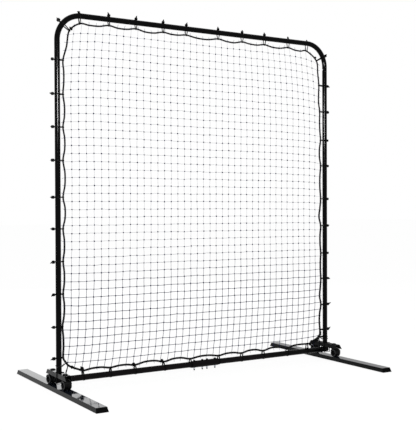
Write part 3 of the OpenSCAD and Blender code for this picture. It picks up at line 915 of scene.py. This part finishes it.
def strip(build, line, width, thick, closed, place, taper=None, ribs=0.0):
    """A flat band along a line in the X-Y plane, width along Z, with softened edges."""
    n = len(line)
    t = directions(line, closed)
    normal = np.stack([t[:, 1], -t[:, 0]], 1)
    w, h, e = width / 2, thick / 2, thick * 0.3
    profile = [(-w + e, -h), (w - e, -h), (w, -h + e), (w, h - e)]
    profile += [(-z, -y) for z, y in profile]
    sides = len(profile)
    verts, faces, uvs = [], [], []
    for i in range(n):
        f = 1.0 if taper is None else taper[i]
        g = 1 + (ribs if i % 2 else 0)
        for z, y in profile:
            xy = line[i] + normal[i] * y * g
            verts.append((xy[0], xy[1], z * f))
    last = n if closed else n - 1
    for i in range(last):
        for k, quad in ring_quads(sides, i, (i + 1) % n):
            faces.append(other_side(quad))
            uvs.append(other_side(map_quad(i, last, k, sides)))
    if not closed:
        faces += [list(range(sides)), list(range((n - 1) * sides, n * sides))[::-1]]
        uvs += [[(0.5, 0.5)] * sides] * 2
    build.add(place(np.array(verts)), faces, uvs)


def soft_box(build, size, centre, edge, place):
    """A box with every edge cut back by edge; each corner has three vertices, one on each face."""
    h = np.array(size) / 2
    verts, faces, index = [], [], {}
    corners = list(itertools.product((-1, 1), repeat=3))
    for corner in corners:
        for axis in range(3):
            v = np.array(corner) * (h - edge)
            v[axis] = corner[axis] * h[axis]
            index[(*corner, axis)] = len(verts)
            verts.append(v + centre)
    for axis in range(3):
        u, w = [(1, 2), (2, 0), (0, 1)][axis]
        for s in (-1, 1):
            quad = []
            for a, b in ((-1, -1), (1, -1), (1, 1), (-1, 1)):
                key = [0, 0, 0]
                key[axis], key[u], key[w] = s, a, b
                quad.append(index[(*key, axis)])
            faces.append(quad if s > 0 else quad[::-1])
            for t in (-1, 1):
                # the cut edge along w, between this face and its neighbour towards +u or -u
                ends = []
                for b in (-1, 1):
                    key = [0, 0, 0]
                    key[axis], key[u], key[w] = s, t, b
                    ends.append((index[(*key, axis)], index[(*key, u)]))
                q = [ends[0][0], ends[0][1], ends[1][1], ends[1][0]]
                faces.append(q if s * t > 0 else q[::-1])
    for corner in corners:
        tri = [index[(*corner, axis)] for axis in range(3)]
        faces.append(tri if math.prod(corner) > 0 else tri[::-1])
    build.add(place(np.array(verts)), faces)


def tie(build, d, r, place, curl, form, look, seat):
    """One cable tie round a tube of radius r and the rope at distance d: band, head and cut tail.

    Its seat is where the head sits: on the tube's side away from the rope, past the rope, on the
    band or behind the tube. The look holds the tail's length and angle, the head's scale and turn,
    and the band's slant."""
    tail, angle, scale, turn, slant = look

    def slanted(v):
        return place(np.stack([v[:, 0], v[:, 1], v[:, 2] + slant * v[:, 0] / d], 1))

    line = loop_line(d, r + 1.0, ROPE_R + 1.3)
    strip(build, line, form["band"], BAND_THICK, True, slanted)
    base = {"rope": d + ROPE_R + 1.6, "band": r + 1.3}.get(seat, -r - 1.3)
    way = 1 if seat in ("rope", "band") else -1
    long, thick, wide = (scale * v for v in form["head"])
    neck = form["neck"]

    def seated(v):
        v = turned(v, turn, base)
        if seat == "behind":
            v = np.stack([v[:, 1], -v[:, 0], v[:, 2]], 1)
        elif seat == "band":
            v = v - (0, 0.72 * r, 0)
        return slanted(v)

    middle = np.array([base + way * (neck + long / 2), 0.0, 0.0])
    soft_box(build, (long, thick, wide), middle, 1.6, seated)
    soft_box(build, (long + 1.4, thick * 0.5, wide * 0.7), middle, 1.0, seated)
    if neck:
        middle = np.array([base + way * neck / 2, 0.0, 0.0])
        soft_box(build, (neck + 2, 5.0, 8.5), middle, 0.8, seated)
    start = base + way * (neck + long - 1)

    def angled(v):
        return seated(turned(v, angle, start))

    s = np.linspace(0, 1, 9)
    line = np.stack([start + way * tail * s, curl * s**2], 1)
    full = form["full"]
    taper = np.where(s > full, 1 - (s - full) / (1 - full) * 0.8, 1.0)
    strip(build, line, form["width"], form["stock"], False, angled, taper, TEETH)


def place_post(s, z):
    """Puts a tie's X-Y plane flat across a post, the rope towards the middle."""
    return lambda v: np.stack([s * PX - s * v[:, 0], v[:, 1], z + v[:, 2]], 1)


def place_bar(x, z, up):
    """Stands a tie's X-Y plane across a bar; up puts the rope above it."""
    k = 1 if up else -1
    return lambda v: np.stack([x - k * v[:, 2], v[:, 1], z + k * v[:, 0]], 1)


def place_corner(s):
    """Puts a tie's X-Y plane across the left (-1) or right (1) bent corner."""
    a, _ = CORNER_TIE[s]
    u = np.array([cosd(a), 0, sind(a)])
    w = np.array([-sind(a), 0, cosd(a)])
    centre = np.array([s * SEAM_X, 0, SEAM_Z]) + u * CORNER_R
    return lambda v: centre - v[:, :1] * u + v[:, 1:2] * Y_AXIS - v[:, 2:] * w


# neck: length between tube and head; head: length, depth and width; band: width of the band;
# width, stock and full: the tail's width, thickness and the share of it that isn't tapered
TIE_FORMS = {
    "top": {"neck": 0, "head": (11, 12, 16.5), "band": 6.4, "width": 12, "full": 0.15, "stock": 4},
    "left": {"neck": 5, "head": (13.5, 12, 16), "band": 6.6, "width": 9, "full": 0.3, "stock": 4},
    "right": {
        "neck": 2.5, "head": (11.5, 12, 17), "band": 7.4, "width": 13.5, "full": 0.15, "stock": 4.6,
    },
    "bottom": {"neck": 0, "head": (12, 11, 15), "band": 8.6, "width": 9, "full": 0.2, "stock": 3.6},
}
# the look of each tie: tail's length and angle, head's scale and turn, band's slant
TIE_LOOKS = {
    "top": [
        (8, 20, 0.8, 55, 0), (15, 12, 1.05, 4, 0), (14, -12, 1, -4, 0), (14, -15, 1, -4, 0),
        (14, -16, 1, -8, 0), (11, 16, 0.9, 4, 0), (10, -14, 0.95, -4, 0), (11, 12, 1, 4, 0),
        (7, 30, 0.7, 12, 0), (1, 0, 0.45, 0, 0),
    ],
    "left": [
        (13, 20, 1.1, 6, 0), (11, 5, 1, 0, 0), (12, 35, 1, 8, 0), (13, 22, 1.08, 6, 0),
        (12, -3, 1.05, -2, 0), (11, 0, 1.08, 0, 0), (7, 0, 1.1, 0, 0), (8, 0, 1.02, 0, 0),
        (12, -8, 1.02, -4, 0), (3, -25, 0.98, -8, 0),
    ],
    "right": [
        (21, -18, 1.05, -8, 0), (20, -18, 1, -8, 0), (17, 12, 0.95, 4, 0), (4, 18, 0.95, 5, 0),
        (6, -10, 0.98, -5, 0), (3, 20, 0.98, 6, 0), (7, -5, 1, 0, 0), (2, 20, 0.9, 4, 0),
        (11, 5, 1.1, 3, 0), (14, 15, 1, 5, 0),
    ],
    "bottom": [
        (10, 35, 1.2, 16, 4), (12, 14, 1, 0, 0), (13, -10, 1.35, 112, 2), (6, 30, 0.95, 50, 8),
        (12, -20, 1, 0, 0), (12, 20, 1, 0, 0), (12, 8, 1, 0, 0), (12, -16, 1, 0, 0),
        (12, 18, 1, 0, 0), (13, 0, 0.95, 90, 0),
    ],
}
CORNER_LOOKS = {-1: ("left", (9, -18, 1.15, -4, 0)), 1: ("right", (13, 14, 1.05, 6, 0))}
LOW_TIE_LOOK = (14, 100, 0.9, 0, 0)
SEATS = {"bottom": ["rope", "behind", "rope", "rope"] + ["behind"] * 5 + ["band"]}
# each side's distances of the rope, tube radius, curl of the tails and way to place tie i
TIE_SIDES = {
    "top": (OFF_TOP, TUBE_R, 5.0, lambda i: place_bar(TIE_TOP[i], TOP_Z, False)),
    "left": (OFF_LEFT, TUBE_R, 5.0, lambda i: place_post(-1, TIE_LEFT[i])),
    "right": (OFF_RIGHT, TUBE_R, 5.0, lambda i: place_post(1, TIE_RIGHT[i])),
    "bottom": (OFF_BOTTOM, CROSS_R, 2.5, lambda i: place_bar(TIE_BOTTOM[i], CROSS_Z, True)),
}


def make_ties():
    for k, (side, (offs, r, curl, place)) in enumerate(TIE_SIDES.items()):
        build = Build()
        seats = SEATS.get(side, ["tube"] * 10)
        for i, (off, look, seat) in enumerate(zip(offs, TIE_LOOKS[side], seats)):
            bend = curl * math.sin(2.3 * i + k)
            tie(build, off, r, place(i), bend, TIE_FORMS[side], look, seat)
        if side == "top":
            for s, (form, look) in CORNER_LOOKS.items():
                off = CORNER_TIE[s][1]
                tie(build, off, TUBE_R, place_corner(s), 2.0, TIE_FORMS[form], look, "tube")
        if side == "right":
            z, off = LOW_TIE_RIGHT
            place = place_post(1, z)
            tie(build, off, TUBE_R, place, 2.0, TIE_FORMS["bottom"], LOW_TIE_LOOK, "rope")
        name, old = "cable_ties_" + side, "ties_" + side
        build.piece(name, tie_nylon, slot="tie_nylon", replaces=[old], smooth=False)


make_ties()


# ---- casters' hub covers and weld beads ----
# as in the part's source; TURN is each caster's swivel at rest, in degrees
AXLE_Z = 50.8
TRAIL = 16.0
STEM_Y = 92.0
TURN = {"lf": 2, "lr": 188, "rf": 4, "rr": 176}
# the cover's [radius, distance from the wheels' middle plane], and its ribs
HUB_PROFILE = [
    [16.2, 13.9], [16.2, 15.0], [15.2, 15.4], [13.6, 14.9], [7.2, 14.9],
    [6.6, 16.2], [5.8, 18.2], [3.4, 18.9], [0.01, 19.0],
]
RIBS = 6
RIB_SIZE = (8.0, 1.8, 1.6)
RIB_AT, RIB_OUT = 10.6, 15.2
WELD_Z = 105.4
WELD_R = 2.3


def lathe(build, profile, count, place):
    """A turned form; the profile is [radius, height] along +Z."""
    n = len(profile)
    verts, faces = [], []
    for k in range(count):
        c, s = cosd(360 * k / count), sind(360 * k / count)
        verts += [(r * c, r * s, h) for r, h in profile]
        m = (k + 1) % count
        for i in range(n - 1):
            faces.append((k * n + i, m * n + i, m * n + i + 1, k * n + i + 1))
    build.add(place(np.array(verts)), faces)


def make_hub(corner, half):
    """Moulded cover on the floor of a wheel's dish: a dished disc, ribs and a small centre cap."""
    sx, sy = (-1 if corner[0] == "l" else 1), (-1 if corner[1] == "f" else 1)
    side = -1 if half == "a" else 1
    c, w = cosd(TURN[corner]), sind(TURN[corner])
    centre = np.array([sx * PX + TRAIL * w, sy * STEM_Y - TRAIL * c, AXLE_Z])

    def place(v):
        out, across = side * v[:, 2], v[:, 0]
        return centre + np.stack([out * c - across * w, out * w + across * c, v[:, 1]], 1)

    build = Build()
    lathe(build, HUB_PROFILE, 40, place)
    for k in range(RIBS):
        a = 360 / RIBS * k
        rib = np.array([RIB_AT * cosd(a), RIB_AT * sind(a), RIB_OUT])

        def spoke(v, a=a, rib=rib):
            u = v[:, 0] * cosd(a) - v[:, 1] * sind(a)
            t = v[:, 0] * sind(a) + v[:, 1] * cosd(a)
            return place(np.stack([u, t, v[:, 2]], 1) + rib)

        soft_box(build, RIB_SIZE, np.zeros(3), 0.4, spoke)
    name = corner + "_" + half
    build.piece("hub_" + name, hub_plastic, body="wheel_" + name, slot="caster_plastic")


def make_welds():
    """Lumpy weld beads where the posts stand on their brackets."""
    build = Build()
    for s in (-1, 1):
        g = np.linspace(0, 2 * math.pi, 84, endpoint=False)
        lump = 0.35 * np.sin(21 * g + s) + 0.15 * np.sin(9 * g)
        r = TUBE_R + 1.0 + 0.3 * lump
        ring = np.stack([s * PX + r * np.cos(g), r * np.sin(g), WELD_Z + 0 * g], 1)
        build.tube(ring, WELD_R + lump, 8, closed=True, up=(0, 0, 1))
    build.piece("weld_beads", frame_coat, slot="frame_coat")


for corner in TURN:
    for half in "ab":
        make_hub(corner, half)
make_welds()


# ---- floor, backdrop and light ----
FLOOR_GREY = 0.2
# strength of the white as it lights the object, and as the camera sees it
FLOOR_GLOW = (0.35, 0.89)
SKY_GLOW = (0.5, 1.0)


def seen_level(tree, lit, seen):
    """A strength that is seen for camera, glossy and transmission rays, and lit for the others."""
    path = tree.nodes.new("ShaderNodeLightPath")
    chain = path.outputs["Is Camera Ray"]
    for ray in ("Is Glossy Ray", "Is Transmission Ray"):
        either = tree.nodes.new("ShaderNodeMath")
        either.operation = "MAXIMUM"
        tree.links.new(chain, either.inputs[0])
        tree.links.new(path.outputs[ray], either.inputs[1])
        chain = either.outputs[0]
    level = tree.nodes.new("ShaderNodeMapRange")
    level.inputs["To Min"].default_value = lit
    level.inputs["To Max"].default_value = seen
    tree.links.new(chain, level.inputs["Value"])
    return level.outputs["Result"]


def make_floor():
    mesh = bpy.data.meshes.new("floor")
    r, z = 40, -0.5 * MM
    mesh.from_pydata([(-r, -r, z), (r, -r, z), (r, r, z), (-r, r, z)], [], [(0, 1, 2, 3)])
    floor = bpy.data.objects.new("floor", mesh)
    bpy.context.scene.collection.objects.link(floor)
    mat = bpy.data.materials.new("floor_white")
    mat.use_nodes = True
    t = mat.node_tree
    t.nodes.clear()
    diffuse = t.nodes.new("ShaderNodeBsdfDiffuse")
    diffuse.inputs["Color"].default_value = (*grey(FLOOR_GREY, FLOOR_GREY), 1)
    glow = t.nodes.new("ShaderNodeEmission")
    glow.inputs["Color"].default_value = (1, 1, 1, 1)
    t.links.new(seen_level(t, *FLOOR_GLOW), glow.inputs["Strength"])
    both = t.nodes.new("ShaderNodeAddShader")
    t.links.new(diffuse.outputs[0], both.inputs[0])
    t.links.new(glow.outputs[0], both.inputs[1])
    out = t.nodes.new("ShaderNodeOutputMaterial")
    t.links.new(both.outputs[0], out.inputs["Surface"])
    mesh.materials.append(mat)


def make_backdrop():
    world = bpy.data.worlds.new("studio")
    bpy.context.scene.world = world
    world.use_nodes = True
    t = world.node_tree
    t.nodes.clear()
    bg = t.nodes.new("ShaderNodeBackground")
    bg.inputs["Color"].default_value = (1, 1, 1, 1)
    t.links.new(seen_level(t, *SKY_GLOW), bg.inputs["Strength"])
    out = t.nodes.new("ShaderNodeOutputWorld")
    t.links.new(bg.outputs[0], out.inputs["Surface"])


def area(name, place, aim, size, power, shine_only=False):
    """A rectangular light; one for shine only draws highlights and lights no matt surface."""
    data = bpy.data.lights.new(name, "AREA")
    data.shape = "RECTANGLE"
    data.size, data.size_y = size
    data.energy = power
    o = bpy.data.objects.new(name, data)
    o.location = place
    o.rotation_euler = (Vector(aim) - Vector(place)).to_track_quat("-Z", "Y").to_euler()
    bpy.context.scene.collection.objects.link(o)
    o.visible_camera = False
    o.visible_diffuse = not shine_only


make_floor()
make_backdrop()
area("key", place=(-3.2, -5.3, 2.35), aim=(0, 0, 1.5), size=(0.45, 0.8), power=150)
area(
    "shine", place=(-1.17, -1.57, 1.84), aim=(0, 0, 1.65), size=(0.42, 0.4), power=170,
    shine_only=True,
)
area("back_panel", place=(1.4, 5.5, 1.5), aim=(0, 0, 1.2), size=(4, 2), power=28)

bpy.context.scene.view_settings.view_transform = "Standard"
